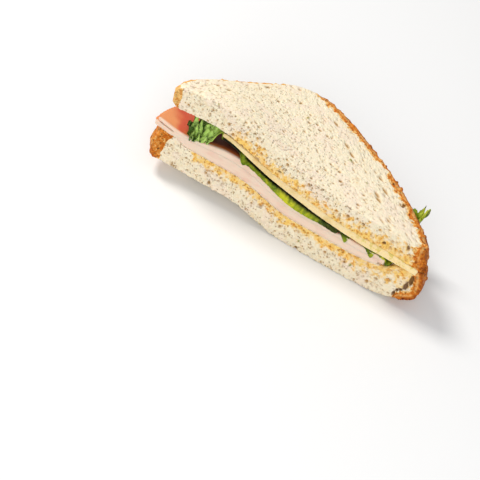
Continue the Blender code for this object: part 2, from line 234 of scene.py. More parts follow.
class Finish:
    """One material: a Principled BSDF, its uniform values set directly on the shader."""

    def __init__(self, name, uniform):
        self.material = bpy.data.materials.new(name)
        self.material.use_nodes = True
        self.tree = self.material.node_tree
        self.shader = self.tree.nodes["Principled BSDF"]
        for socket, value in uniform.items():
            self.shader.inputs[socket].default_value = value
        self.place = self.node("ShaderNodeTexCoord").outputs["Object"]

    def node(self, kind, settings=None, inputs=None):
        """Add a node: its settings first, then the values or links of its sockets."""
        made = self.tree.nodes.new(kind)
        for name, value in (settings or {}).items():
            setattr(made, name, value)
        for name, value in (inputs or {}).items():
            self.feed(made.inputs[name], value)
        return made

    def feed(self, socket, value):
        if isinstance(value, Value):
            value = value.socket
        if isinstance(value, bpy.types.NodeSocket):
            self.tree.links.new(value, socket)
        elif socket.type == "RGBA":
            socket.default_value = (*value, 1.0)
        else:
            socket.default_value = value

    def attribute(self, name):
        """A number kept on the mesh's own points."""
        return Value(self, self.node("ShaderNodeAttribute", {"attribute_name": name}).outputs["Fac"])

    def drawn_out(self, turn, stretch):
        """Object coordinates turned about Z, then drawn out by a factor along each axis."""
        return self.node("ShaderNodeMapping", {"vector_type": "TEXTURE"}, {
            "Vector": self.place, "Rotation": (0.0, 0.0, -turn), "Scale": stretch}).outputs[0]

    def cloud(self, size, detail=2.0, place=None):
        """Soft noise from 0 to 1 whose patches are about size millimetres."""
        node = self.node("ShaderNodeTexNoise", {}, {
            "Vector": place or self.place, "Scale": 1.0 / (size * MM), "Detail": detail})
        return Value(self, node.outputs[0]).rise(0.3, 0.7)

    def grains(self, size, radius, share, place=None):
        """Specks of a radius in millimetres, in a share of the cells of a size."""
        node = self.node("ShaderNodeTexVoronoi", {}, {
            "Vector": place or self.place, "Scale": 1.0 / (size * MM)})
        chosen = self.node("ShaderNodeSeparateColor", {}, {0: node.outputs["Color"]}).outputs[0]
        near = 1.0 - Value(self, node.outputs["Distance"]).rise(0.4 * radius / size, radius / size)
        return near * Value(self, chosen).rise(1.0 - share, 1.02 - share)

    def mix(self, first, second, share):
        """Blend two colours; share 1 gives the second."""
        node = self.node("ShaderNodeMix", {"data_type": "RGBA"}, {0: share, 6: first, 7: second})
        return node.outputs[2]

    def roughen(self, height, distance, strength=1.0):
        """Feed a height in units of distance millimetres to the shader's normal."""
        node = self.node("ShaderNodeBump", {}, {
            "Strength": strength, "Distance": distance * MM, "Height": height})
        self.feed(self.shader.inputs["Normal"], node.outputs[0])

    def finish(self, base, roughness):
        self.feed(self.shader.inputs["Base Color"], base)
        self.feed(self.shader.inputs["Roughness"], roughness)
        return self.material


def bread_material(colours):
    finish = Finish("bread crumb and crust", {
        "Subsurface Weight": 0.06, "Subsurface Radius": (1.0, 0.62, 0.38),
        "Subsurface Scale": 0.0008, "Specular IOR Level": 0.2})
    crust, baked = finish.attribute("crust"), finish.attribute("baked")
    hole, soak, seed = finish.attribute("hole"), finish.attribute("soak"), finish.attribute("seed")
    crown, sawn = finish.attribute("crown"), finish.attribute("sawn")
    broad, middling = finish.cloud(9.0), finish.cloud(3.6)
    blotch, small, fine = finish.cloud(2.4, 1.0), finish.cloud(1.3), finish.cloud(0.6, 3.0)
    along = finish.drawn_out(LOAF_TURN, (STRETCH, 1.0, 1.0))
    round_pits = finish.grains(1.35, 0.55, 0.5).larger(finish.grains(2.3, 0.85, 0.35))
    long_pits = finish.grains(1.25, 0.5, 0.45, along).larger(finish.grains(2.0, 0.75, 0.4, along))
    pits = (round_pits * (1.0 - crown) + long_pits * crown) * (0.6 + sawn * 0.4)
    streaks = finish.cloud(0.9, 2.0, along)

    # The crumb, with painted shade in its holes and pits, then the spread in it.
    warm = (middling * 0.5 + small * 0.5 - 0.3).rise(0.0, 1.0, 0.7)
    crumb = finish.mix(colours.crumb, colours.crumb_warm, warm * (0.55 + sawn * 0.45))
    crumb = finish.mix(crumb, colours.crumb_rosy, broad.rise(0.45, 0.9, 0.6))
    # Painted shade: deeper holes and the shader's pits darken the crumb.
    hole_shade = (hole * 1.1).larger(pits * (0.35 + middling * 0.6))
    crumb = finish.mix(crumb, colours.hole, hole_shade.rise(0.05, 1.15))
    crumb = finish.mix(crumb, colours.bran, finish.grains(2.6, 0.6, 0.2) * 0.6)
    crumb = finish.mix(crumb, colours.seed, seed.larger(finish.grains(8.5, 0.8, 0.16) * 0.75))
    stained = (soak * 1.4 + middling * 0.45 + blotch * 0.4 + small * 0.3 - 0.9).rise(0.0, 0.8)
    crumb = finish.mix(crumb, colours.spread, stained * (0.65 + blotch * 0.3))
    pooled = stained * (small * 0.6 + blotch * 0.5 + broad * 0.2 - 0.65).rise(0.2, 0.6)
    pooled = pooled.larger(stained * hole.larger(pits) * 0.9)
    crumb = finish.mix(crumb, colours.spread_deep, pooled * 0.75)

    # The crust, with a pale stripe and a dark rim on the crown's outer wall, partly its darker bake
    #     # and partly painted shade where the wall faces away, and painted shade inside the deep
    #     cracks.
    ragged = crust + middling * 0.3 + small * 0.2 - 0.25
    tone = (small * 0.7 + middling * 0.35 + baked * 0.5 + crust * 0.3 - 0.9).rise(0.0, 0.8, 0.9)
    shell = finish.mix(colours.crust_tan, colours.crust_brown, tone)
    pitted = finish.grains(2.9, 1.2, 0.4).larger(finish.grains(1.6, 0.6, 0.2))
    shell = finish.mix(shell, colours.crust_dark, pitted * (0.05 + baked * 0.7 + fine * 0.25))
    fair = (1.0 - small) * 0.7 + fine * 0.5 - middling * 0.3 - baked * 0.85 + 0.15
    shell = finish.mix(shell, colours.crust_pale, fair.rise(0.1, 0.8, 0.9))
    stripe = crust.rise(0.55, 0.68) * (1.0 - crust.rise(0.74, 0.9)) * crown * middling.rise(0.2, 0.6)
    shell = finish.mix(shell, colours.crust_pale, stripe * 0.6)
    # Crown's outer wall: partly its darker bake, partly painted shade where it faces away.
    outer = crust.rise(0.85, 1.0) * crown * (0.15 + middling * 0.6)
    shell = finish.mix(shell, colours.crust_dark, outer * 0.5)
    shell = finish.mix(colours.crust_pale, shell, ragged.rise(0.3, 0.5))
    base = finish.mix(crumb, shell, ragged.rise(0.2, 0.32))
    # Painted shade inside the named hollows and cracks.
    crack_shade = (finish.attribute("gash") + small * 0.2 - 0.1).rise(0.1, 0.8, 0.9)
    base = finish.mix(base, colours.gash, crack_shade)
    grainy = (fine * 0.3 + small * 0.4) * (0.4 + sawn * 0.6) + streaks * crown * 0.3
    finish.roughen(grainy + crust * (small - pitted) * 0.8 - pits, 0.75, 0.9)
    return finish.finish(base, 0.88 - crust * 0.3 - stained * 0.25)


def turkey_material(colours):
    finish = Finish("sliced turkey", {
        "Subsurface Weight": 0.25, "Subsurface Radius": (1.0, 0.35, 0.25),
        "Subsurface Scale": 0.0025, "Specular IOR Level": 0.4})
    cut = finish.attribute("cut")
    skin = finish.attribute("skin")
    # The depth attribute is painted shade: the face darkened in under the cheese.
    depth = finish.attribute("depth")
    broad = finish.cloud(11.0)
    small = finish.cloud(2.4, 3.0, finish.drawn_out(0.0, (3.0, 1.0, 1.0)))
    # Pale at the left end, red toward the bread: partly the meat's colour, partly painted light.
    face = finish.mix(colours.turkey_face, colours.turkey_pale,
                      (broad * 0.3 + finish.attribute("pale") - 0.2).rise(0.1, 0.9))
    face = finish.mix(face, colours.turkey_skin, skin)
    face = finish.mix(face, colours.turkey_shade, depth)
    edge = finish.mix(colours.turkey_cut, colours.turkey_face,
                      (small * 0.5 + broad * 0.35).rise(0.3, 1.1, 0.25))
    base = finish.mix(face, edge, cut)
    finish.roughen(small * 0.5 + finish.cloud(0.6) * 0.5, 0.12, 0.5)
    return finish.finish(base, 0.5 - skin * 0.12)


def cheese_material(colours):
    finish = Finish("mild cheese", {
        "Subsurface Weight": 0.25, "Subsurface Radius": (1.0, 0.7, 0.35),
        "Subsurface Scale": 0.0025, "Specular IOR Level": 0.4})
    patches, small = finish.cloud(7.0), finish.cloud(1.1, 3.0)
    melted = finish.attribute("melted")
    base = finish.mix(colours.cheese, colours.cheese_edge, patches * 0.6 + small * 0.2)
    base = finish.mix(base, colours.cheese_pale, melted * (0.45 + small * 0.5))
    spots = small * 0.6 + finish.cloud(3.0) * 0.7 + finish.attribute("upper") * 0.5 - 0.9
    base = finish.mix(base, colours.cheese_spot, spots.rise(0.1, 0.6) * melted * 0.8)
    finish.roughen(small, 0.1, 0.4)
    return finish.finish(base, 0.42 + small * 0.1)


def lettuce_material(colours):
    finish = Finish("frilled lettuce", {
        "Subsurface Weight": 0.1, "Subsurface Radius": (0.5, 1.0, 0.2),
        "Subsurface Scale": 0.0012, "Specular IOR Level": 0.2})
    light, margin = finish.attribute("light"), finish.attribute("margin")
    shade = finish.attribute("shade")
    broad, small = finish.cloud(4.0, 3.0), finish.cloud(1.0, 3.0)
    base = finish.mix(colours.leaf_mid, colours.leaf_dark,
                      (margin * 0.8 + broad * 0.6 + small * 0.4 - 0.4).rise(0.0, 0.9))
    pale = finish.mix(colours.leaf_light, colours.leaf_fresh, finish.attribute("fresh"))
    base = finish.mix(base, pale, (light + small * 0.35 - 0.1).rise(0.15, 1.0))
    base = finish.mix(base, colours.leaf_shade, shade)
    finish.roughen(small * 0.7 + broad * 0.3, 0.35, 0.8)
    return finish.finish(base, 0.5 - light * 0.08)


# Shapes taken from the solids.

def solid_faces(node, keep=None):
    """A search tree over a solid's faces, in sandwich millimetres; keep(centre, normal) picks them."""
    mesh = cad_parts[node].data
    points = [TO_SANDWICH @ vert.co for vert in mesh.vertices]
    faces = [tuple(face.vertices) for face in mesh.polygons
             if keep is None or keep(TO_SANDWICH @ face.center, face.normal)]
    return BVHTree.FromPolygons(points, faces)


def is_cut(centre, normal):
    return normal.y < -CUT_NORMAL and centre.y < CUT_DEPTH


def is_rim(centre, normal):
    return abs(normal.z) < STEEPEST_SLICE and not is_cut(centre, normal)


def fine_copy(node, face_size, smoothing, levels=0):
    """A copy of a solid, rounded between its points and evenly faced, as a bmesh."""
    bm = bmesh.new()
    bm.from_mesh(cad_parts[node].data)
    bmesh.ops.remove_doubles(bm, verts=bm.verts, dist=MERGE)
    bmesh.ops.transform(bm, matrix=TO_SANDWICH, verts=bm.verts)
    bmesh.ops.join_triangles(bm, faces=bm.faces, angle_face_threshold=FLAT_BEND,
                             angle_shape_threshold=SHAPE_BEND)
    bm.normal_update()
    crease = bm.edges.layers.float.new("crease_edge")
    pin = bm.verts.layers.float.new("crease_vert")
    for edge in bm.edges:
        on_cut = [is_cut(face.calc_center_median(), face.normal) for face in edge.link_faces]
        edge[crease] = 1.0 if any(on_cut) and not all(on_cut) else 0.0
    ends = [vert for vert in bm.verts if any(edge[crease] for edge in vert.link_edges)]
    for reach in (min(vert.co.x for vert in ends), max(vert.co.x for vert in ends)):
        for vert in ends:
            if abs(vert.co.x - reach) < CORNER_REACH:
                vert[pin] = 1.0
    draft = bpy.data.objects.new(node + "_draft", bpy.data.meshes.new(node + "_draft"))
    bm.to_mesh(draft.data)
    bm.free()
    bpy.context.scene.collection.objects.link(draft)
    if levels:
        rounded = draft.modifiers.new("rounded", "SUBSURF")
        rounded.levels = levels
        rounded.render_levels = levels
    even = draft.modifiers.new("even", "REMESH")
    even.mode = "VOXEL"
    even.voxel_size = face_size
    mesh = bpy.data.meshes.new_from_object(draft.evaluated_get(bpy.context.evaluated_depsgraph_get()))
    bpy.data.objects.remove(draft)
    bm = bmesh.new()
    bm.from_mesh(mesh)
    bpy.data.meshes.remove(mesh)
    for _ in range(smoothing):
        bmesh.ops.smooth_vert(bm, verts=bm.verts, factor=SMOOTHING,
                              use_axis_x=True, use_axis_y=True, use_axis_z=True)
    bm.normal_update()
    return bm


def move_points(bm, places):
    for vert, place in zip(bm.verts, places):
        vert.co = place


def keep_piece(bm, name, layers, material, nodes):
    """Make the finished piece: to metres, shaded smooth, riding on the body, standing for nodes."""
    floor = min(vert.co.z for vert in bm.verts)
    if floor < 0.0:
        raise ValueError(f"{name} reaches {-floor:.2f} mm below what it rests on")
    bmesh.ops.transform(bm, matrix=TO_ROW, verts=bm.verts)
    mesh = bpy.data.meshes.new(name)
    bm.to_mesh(mesh)
    bm.free()
    for layer, values in layers.items():
        mesh.attributes.new(layer, "FLOAT", "POINT").data.foreach_set("value", values)
    mesh.shade_smooth()
    mesh.materials.append(material)
    piece = bpy.data.objects.new(name, mesh)
    bpy.context.scene.collection.objects.link(piece)
    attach(piece, "root")
    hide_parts(*nodes)
    return piece


# Bread.

def loaf_place(point):
    """Along and across the loaf, and how near its crown and its side a point lies, in millimetres."""
    along = point.x * cos(LOAF_TURN) - point.y * sin(LOAF_TURN)
    across = point.x * sin(LOAF_TURN) + point.y * cos(LOAF_TURN)
    return along, across, CROWN_REACH - across, SIDE_REACH + along


def scatter(spot, size, share, reach):
    """Depth from 0 to 1 at a spot among scattered hollows that lie about size apart."""
    distances, centres = noise.voronoi(spot / size)
    if lot(centres[0]) > share:
        return 0.0
    radius = reach * (0.45 + 0.55 * lot(centres[0] * SECOND_LOT))
    return ease(1.4 * (1.0 - distances[0] / radius))


# Near the crown and near the side the crumb's holes are drawn out along the crust, by STRETCH.
# Holes, large or small, are given as the scatter takes them: size, share and reach.
STRETCH = 2.3
CROWN_GRAIN, SIDE_GRAIN = (5.0, 26.0), (4.0, 14.0)
LARGE_HOLE, LARGE_SHARE, LARGE_REACH = 3.6, 0.55, 0.46
SMALL_HOLE, SMALL_SHARE, SMALL_REACH = 2.0, 0.6, 0.48
SMALL_SHIFT = Vector((40.0, 0.0, 0.0))
LEAST_WEIGHT = 0.15


def crown_share(to_crown):
    return until(to_crown, CROWN_GRAIN)


def crumb_holes(point, on_cut):
    """Holes of the crumb: drawn out along the crust near it, round in the middle."""
    along, across, to_crown, to_side = loaf_place(point)
    crown = crown_share(to_crown)
    side = until(to_side, SIDE_GRAIN) * (1.0 - crown)
    plain = 1.0 - max(crown, side)
    z = point.z
    depth = 0.0
    for weight, spot in ((crown, Vector((along / STRETCH, across, z))),
                         (side, Vector((along, across / STRETCH, z))),
                         (plain, Vector((along, across, z)))):
        if weight > LEAST_WEIGHT:
            large = scatter(spot, LARGE_HOLE, LARGE_SHARE, LARGE_REACH)
            small = scatter(spot + SMALL_SHIFT, SMALL_HOLE, SMALL_SHARE + 0.1 * on_cut, SMALL_REACH)
            depth = max(depth, min(1.0, 1.6 * weight) * max(large, 0.75 * small))
    return depth


GASH_WALL, GASH_RAGGED, GASH_GRAIN = 1.25, 0.3, 1.1


def gash(point, middle, reach):
    """Depth from 0 to 1 of one named hollow with its half sizes along x, y and z."""
    away = Vector((point[k] - middle[k]) / reach[k] for k in range(3)).length
    return ease(GASH_WALL * (1.0 - away + GASH_RAGGED * noise.noise(point / GASH_GRAIN)))


# What differs between the two slices.  A gash is a named hollow: middle, half sizes and depth.
# A seed is a middle and a half size.  Left of crust_start the cut face is crust, wider by flare
# at its top.  The crust's ring widens by the share end_crust past end_crust_start, and there is
# none on the cut face between 0 and crust_tip.  The spread soaked in from the filling as far as
# soak_reach, between the two ends of soak.  At the right end the upper slice droops and the lower
# one rises until they meet, and at the left end the lower one's crust bulges.
LOWER_SLICE = {
    "node": "bread_bottom", "filling_side": 1.0, "soak": (-62.0, 76.0),
    "soak_reach": 8.5, "crust_start": -75.2, "flare": 3.4,
    "droop": 0.0, "rise": 2.6, "bulge": 1.4, "end_bake": 0.6,
    "end_crust": 1.2, "end_crust_start": 61.0, "crust_tip": 63.5,
    "gashes": (((68.9, 0.0, 13.6), (1.6, 6.0, 3.0), 1.7),
               ((70.2, 0.0, 17.2), (1.6, 6.0, 3.2), 1.7),
               ((64.7, 0.0, 6.7), (1.0, 6.0, 2.0), 1.4),
               ((65.6, 0.0, 9.4), (1.1, 6.0, 1.6), 1.4),
               ((67.3, 0.0, 10.8), (1.6, 6.0, 1.2), 1.2),
               ((-76.2, 0.0, 14.0), (0.9, 6.0, 1.0), 0.7),
               ((-76.0, 0.0, 16.6), (0.8, 6.0, 0.8), 0.6),
               ((-77.3, 0.0, 10.4), (0.8, 6.0, 0.9), 0.6),
               ((-75.6, 0.0, 8.7), (0.8, 6.0, 1.2), 0.7),
               ((-79.2, 0.0, 12.9), (0.7, 6.0, 0.8), 0.5),
               ((-74.3, 0.0, 19.4), (0.7, 6.0, 0.8), 0.5),
               ((8.0, 0.0, 15.5), (1.0, 5.0, 1.0), 0.6)),
    "seeds": (((10.0, 0.0, 6.0), 0.8), ((39.0, 0.0, 9.0), 1.1)),
}
UPPER_SLICE = {
    "node": "bread_top", "filling_side": -1.0, "soak": (-46.0, 70.0),
    "soak_reach": 11.0, "crust_start": -74.4, "flare": 0.0,
    "droop": 2.2, "rise": 0.0, "bulge": 0.0, "end_bake": 0.0,
    "end_crust": 1.9, "end_crust_start": 54.0, "crust_tip": 30.0,
    "gashes": (((49.9, 0.0, 31.2), (1.7, 5.0, 1.1), 1.2),
               ((61.7, 0.0, 35.8), (1.3, 5.0, 2.8), 0.8),
               ((36.4, 0.0, 35.1), (1.5, 5.0, 1.0), 0.7),
               ((27.4, 0.0, 39.3), (2.0, 5.0, 0.9), 0.6),
               ((-13.2, 0.0, 38.0), (2.4, 5.0, 0.9), 0.8),
               ((47.5, 27.0, 37.5), (1.5, 2.8, 6.0), 0.8)),
    "seeds": (((12.3, 33.5, 42.0), 1.5), ((-18.9, 43.3, 45.0), 1.0), ((25.8, 24.9, 41.0), 1.0)),
}

# What both slices share.  A pair is a ramp: where a change starts, and the run that it takes.
CUT_NORMALS, CUT_BACK = (0.5, 0.4), (0.8, 1.0)
FLARE, CRUST_EDGE_WANDER, CRUST_EDGE_RUN = (15.0, 9.0), 0.9, 1.2
END_CRUST_RUN, BARE, TIP_RUN = 8.0, (0.0, 10.0), 3.0
THIN_SKIN, BAKED_SKIN, SKIN = 0.85, 1.5, (0.35, 0.3)
PATCH = 4.0
SOAK_WIDENS, SOAK_WIDER, SOAK_UNEVEN, SOAK_RUN = (22.0, 25.0), 0.35, 0.35, 6.0
SOAKED_LIP, LIP_BACK = (50.0, 6.0), (2.0, 3.0)
BULGE, BULGE_BACK = (-74.0, -4.0), (14.0, 14.0)
DROOP, RISE_RIGHT, RISE_LEFT = (60.0, 10.0), (54.0, 6.0), (-65.0, -4.0)
MEET_BACK, MEET_HEIGHT = (10.0, 12.0), (0.0, 9.0)
BAKED_RUN, END_BAKED = 18.0, (-68.0, -4.0)

# Relief: grains and crags by size and height, and blisters as the scatter takes them.
FINE_GRAIN, FINE_GRAIN_HEIGHT, COARSE_GRAIN, COARSE_GRAIN_HEIGHT = 0.9, 0.18, 2.4, 0.2
CRAG, SMALL_CRAG = 2.6, 1.1
BLISTER, BLISTER_SHARE, BLISTER_REACH = 4.6, 0.5, 0.45
SEED_HEIGHT = 0.35


def cut_share(point, normal):
    """1 on the cut face, 0 away from it."""
    return past(-normal.y, CUT_NORMALS) * until(point.y, CUT_BACK)


def crust_share(facts, point, on_cut, baked, to_rim, crust_depth):
    """How much of a spot is crust: near the rim, and on the cut face past the left edge."""
    left_edge = facts["crust_start"] + facts["flare"] * past(point.z, FLARE)
    left_edge += CRUST_EDGE_WANDER * noise.noise(point / PATCH)
    left = on_cut * until(point.x, (left_edge, CRUST_EDGE_RUN))
    widened = facts["end_crust"] * past(point.x, (facts["end_crust_start"], END_CRUST_RUN))
    ring = crust_depth * (THIN_SKIN + BAKED_SKIN * baked * (1.0 - on_cut) + widened * on_cut)
    bare = past(point.x, BARE) * until(point.x, (facts["crust_tip"], TIP_RUN))
    return max(clamp(1.15 - to_rim / (1.6 * ring)), left) * (1.0 - on_cut * bare)


def soak_share(facts, point, normal, on_cut, to_filling):
    """How much spread a spot soaked up: on the cut face, and on the lip over the filling."""
    widened = 1.0 + SOAK_WIDER * past(point.x, SOAK_WIDENS)
    reach = facts["soak_reach"] * (1.0 + SOAK_UNEVEN * noise.noise(point / PATCH)) * widened
    start, end = facts["soak"]
    soak = on_cut * clamp(1.0 - to_filling / reach)
    soak *= past(point.x, (start, SOAK_RUN)) * past(point.x, (end, -SOAK_RUN))
    lip = ease(2.0 * normal.z * facts["filling_side"]) * until(point.y, LIP_BACK)
    return max(soak, lip * past(point.x, SOAKED_LIP))


def bulge_out(facts, point, skin):
    """How far the crust swells at the left end of the cut."""
    return facts["bulge"] * skin * past(point.x, BULGE) * until(point.y, BULGE_BACK)


def meet_up(facts, point, to_filling):
    """How far a slice moves up, so that both slices meet at the ends of the cut."""
    up = facts["rise"] * (past(point.x, RISE_RIGHT) + past(point.x, RISE_LEFT))
    up -= facts["droop"] * past(point.x, DROOP)
    return up * until(point.y, MEET_BACK) * until(to_filling, MEET_HEIGHT)


BREAD_LOOKS = ("crust", "baked", "hole", "soak", "seed", "crown", "sawn", "gash")


def build_bread(facts, sizes, material):
    """One slice: crumb with holes, a blistered crust and the spread that soaked into it."""
    node = facts["node"]
    bm = fine_copy(node, CRUMB_FACE, CRUMB_PASSES)
    rim = solid_faces(node, is_rim)
    inner = solid_faces(node, lambda centre, normal: normal.z * facts["filling_side"] > STEEPEST_SLICE)
    crust_depth = sizes.crust_depth / MM
    hole_depth = sizes.hole_depth / MM
    crag_height = sizes.crag_height / MM
    layers = {name: [] for name in BREAD_LOOKS}
    moves = []
    for vert in bm.verts:
        point, normal = vert.co, vert.normal
        to_rim = rim.find_nearest(point)[3]
        to_filling = inner.find_nearest(point)[3]
        to_crown, to_side = loaf_place(point)[2:]
        on_cut = cut_share(point, normal)
        baked = max(ease(0.5 + (to_side - to_crown) / BAKED_RUN),
                    facts["end_bake"] * past(point.x, END_BAKED))
        crust = crust_share(facts, point, on_cut, baked, to_rim, crust_depth)
        skin = past(crust, SKIN)
        # The holes' depth, which also sets the painted shade in them.
        hole = crumb_holes(point, on_cut) * (1.0 - skin)
        named = max(gash(point, middle, reach) * depth for middle, reach, depth in facts["gashes"])
        seed = max(gash(point, middle, (size, size, 1.5 * size)) for middle, size in facts["seeds"])
        soak = soak_share(facts, point, normal, on_cut, to_filling)
        grain = FINE_GRAIN_HEIGHT * noise.noise(point / FINE_GRAIN)
        grain += COARSE_GRAIN_HEIGHT * noise.noise(point / COARSE_GRAIN)
        crag = noise.noise(point / CRAG) + 0.5 * noise.noise(point / SMALL_CRAG)
        blister = scatter(point, BLISTER, BLISTER_SHARE, BLISTER_REACH)
        height = (1.0 - skin) * (grain * (0.8 + 1.4 * on_cut) - hole * hole_depth)
        height += skin * crag_height * (crag + blister * (0.5 + 1.2 * baked) - 0.2)
        height += SEED_HEIGHT * seed - named + bulge_out(facts, point, skin)
        place = point + normal * height + Vector((0.0, 0.0, meet_up(facts, point, to_filling)))
        moves.append((place.x, place.y, max(place.z, 0.0)))
        looks = (crust, baked, hole, soak, seed, crown_share(to_crown), on_cut, min(1.0, named))
        for name, value in zip(BREAD_LOOKS, looks):
            layers[name].append(value)
    move_points(bm, moves)
    return keep_piece(bm, node + "_sliced", layers, material, [node])


# Turkey and cheese.

# Near the cut the layers close the gaps between them: along a ramp in x, by an amount.
NEAR_CUT = (3.0, 6.0)
UNDER_TURKEY, BETWEEN_TURKEY = ((-72.0, 8.0), 1.0), ((-73.0, 4.0), 1.4)
OVER_TURKEY = ((24.0, 8.0), 1.3)

# The broad face of the turkey: its warp, the patch at the left that turns pale along a slant where
# # the face stands out of the bread, partly painted light, the smoked rim and patch, and painted
# # shade on the part under the cheese.
WARP, WARP_HEIGHT, SMALL_WARP, SMALL_WARP_HEIGHT = 6.0, 0.12, 1.3, 0.05
PALE_TO, PALE_SLANT, PALE_WANDER, PALE_BLEND = -67.0, 0.48, 3.0, 13.0
SMOKED, SMOKED_START, SMOKED_BACK = 0.65, (-69.0, 4.0), (3.0, 4.0)
RIM, RIM_WANDER, CUT_SLOPE, CUT_EDGE = (0.7, 1.6), 0.5, (0.3, 0.3), (1.2, 1.2)
UNDER_START, UNDER_FRONT, UNDER_BACK = (-56.0, 5.0), (1.5, 4.0), (24.0, 8.0)

# How far the turkey's corner at the left is pushed out, and its ramps along and behind the cut.
CORNER_PUSH, CORNER, CORNER_FRONT, CORNER_BACK = 2.2, (-62.0, -14.0), (0.0, 5.0), (16.0, 10.0)


def closing(gap, point):
    """How far a gap between two layers is closed at a point."""
    ramp, amount = gap
    return amount * past(point.x, ramp) * until(point.y, NEAR_CUT)


def build_turkey(node, below, above, material):
    """One slice of turkey; near the cut it closes the gap below it and the one above it."""
    bm = fine_copy(node, TURKEY_FACE, LAYER_PASSES, LAYER_ROUNDS)
    rim = solid_faces(node, is_rim)
    layers = {"cut": [], "skin": [], "depth": [], "pale": []}
    moves = []
    for vert in bm.verts:
        point, normal = vert.co, vert.normal
        to_rim = rim.find_nearest(point)[3]
        wander = noise.noise(point / WARP)
        layers["cut"].append(max(past(-normal.y, CUT_SLOPE), until(point.y, CUT_EDGE)))
        smoked = SMOKED * past(point.x, SMOKED_START) * until(point.y, SMOKED_BACK)
        layers["skin"].append(max(smoked, until(to_rim - RIM_WANDER * wander, RIM)))
        # Paler towards the left end, where the face stands out of the bread: partly painted light.
        beyond = PALE_TO - point.x - PALE_SLANT * point.y + PALE_WANDER * wander
        layers["pale"].append(ease(0.5 + beyond / PALE_BLEND))
        # Painted shade on the face in under the cheese, behind the cut.
        under = past(point.y, UNDER_FRONT) * until(point.y, UNDER_BACK)
        layers["depth"].append(under * past(point.x, UNDER_START))
        settled = closing(above, point) * ease(2.0 * normal.z)
        settled -= closing(below, point) * ease(-2.0 * normal.z)
        height = WARP_HEIGHT * wander + SMALL_WARP_HEIGHT * noise.noise(point / SMALL_WARP)
        corner = CORNER_PUSH * past(point.x, CORNER)
        corner *= past(point.y, CORNER_FRONT) * until(point.y, CORNER_BACK)
        moves.append(point + normal * height + Vector((-corner, 0.0, settled)))
    move_points(bm, moves)
    return keep_piece(bm, node + "_finished", layers, material, [node])


# The cheese: how much thinner it gets towards its left end and in the middle, how far it melts
# up into the bread, how far its right end reaches, and its dents.
THINNER, THIN_END = 1.5, (-52.0, 28.0)
MIDDLE_THINNER, MIDDLE_THIN, MIDDLE_THIN_WIDTH = 0.9, 14.0, 16.0
LEAST_MELT, MELT, MELT_START, END_MELT = 0.3, 1.5, (-36.0, 40.0), (50.0, 14.0)
END_REACH, END_REACH_START, PALE_START = 2.6, (50.0, 20.0), (24.0, 24.0)
DENT, DENT_HEIGHT, SMALL_DENT, SMALL_DENT_HEIGHT, CUT_PROUD = 7.0, 0.12, 1.6, 0.04, 0.25


def build_cheese(material):
    """The cheese, pressed up against the bread near the cut and thin at its left end."""
    bm = fine_copy("cheese_slice", CHEESE_FACE, LAYER_PASSES, LAYER_ROUNDS)
    layers = {"melted": [], "upper": []}
    moves = []
    for vert in bm.verts:
        point, normal = vert.co, vert.normal
        height = DENT_HEIGHT * noise.noise(point / DENT)
        height += SMALL_DENT_HEIGHT * noise.noise(point / SMALL_DENT)
        thin = THINNER * until(point.x, THIN_END)
        thin += MIDDLE_THINNER * bump(point.x, MIDDLE_THIN, MIDDLE_THIN_WIDTH)
        melted = MELT * past(point.x, MELT_START) * (1.0 - 0.5 * past(point.x, END_MELT))
        lift = (LEAST_MELT + melted) * ease(2.0 * normal.z) + thin * ease(-2.0 * normal.z)
        reach = END_REACH * past(point.x, END_REACH_START)
        layers["melted"].append(past(point.x, PALE_START))
        layers["upper"].append(ease(0.5 + normal.z))
        proud = CUT_PROUD * ease(-normal.y)
        shift = until(point.y, NEAR_CUT) * Vector((reach, -proud, lift))
        moves.append(point + normal * height + shift)
    move_points(bm, moves)
    return keep_piece(bm, "cheese_sheet", layers, material, ["cheese_slice"])


# Lettuce.

LEAF_MIDDLE = (-5.5, 17.0)
LEAF_REACH = (67.0, 37.0)
LEAF_DENT, LEAF_DENT_ANGLE, LEAF_DENT_SPREAD = 13.0, 166.0, 12.0
TONGUE_LENGTH, TONGUE_ANGLE, TONGUE_SPREAD = 11.0, 20.0, 4.2
TONGUE_RISE, TONGUE_RISE_START = 7.5, (57.0, 13.0)
SLANT_START, SLANT_END, SLANT = -72.3, -50.0, 1.05
FRILL_COUNT, FRILL_DEPTH, UNEVEN_FRILL = 15, 2.6, 1.2
TOOTH, TOOTH_COUNT, SMALL_TOOTH, SMALL_TOOTH_COUNT = 0.9, 53.0, 0.5, 131.0
OUTLINE_STEPS, CUT_COLUMNS, RIM_COLUMNS, LEAF_RINGS = 2400, 320, 680, 40
RING_CROWDING = 0.45

# How the leaf hangs between the layers: the search from above and from below, what it starts
# from, the least gap, the play it leaves, and its folds and ripples by size and height.
SEARCH_TOP, SEARCH_BOTTOM, FIRST_LOW, FIRST_HIGH = 90.0, -20.0, 30.0, 34.0
OVER_FLOOR, PLAY, LEAST_GAP, MARGIN_WIDTH = 0.1, 0.6, 0.3, 9.0
FOLD, FOLD_SHARE, RIPPLE, RIPPLE_SHARE = 2.6, 0.5, 1.2, 0.4
RUFFLE, RUFFLE_SHARE, RUFFLE_BACK = 7.5, 0.65, (0.0, 12.0)
HANG_LOW, HANG_RAISE, HANG_START, HANG_BACK = 0.42, 0.3, (-22.0, 16.0), (3.0, 4.0)

# Along the cut, from left to right: the frill that stands out, a hollow, the band that shows
# between the layers, two small frills over the turkey and the leaf's last tip.  Pairs are ramps
# in x or, where their names say back, in y; what a bump takes is its middle and its width.
FRILL, FRILL_TIP, FRILL_TOOTHED, FRILL_DARK = (-50.0, -6.0), (-47.0, -7.0), (-50.0, -5.0), (-55.0, -3.0)
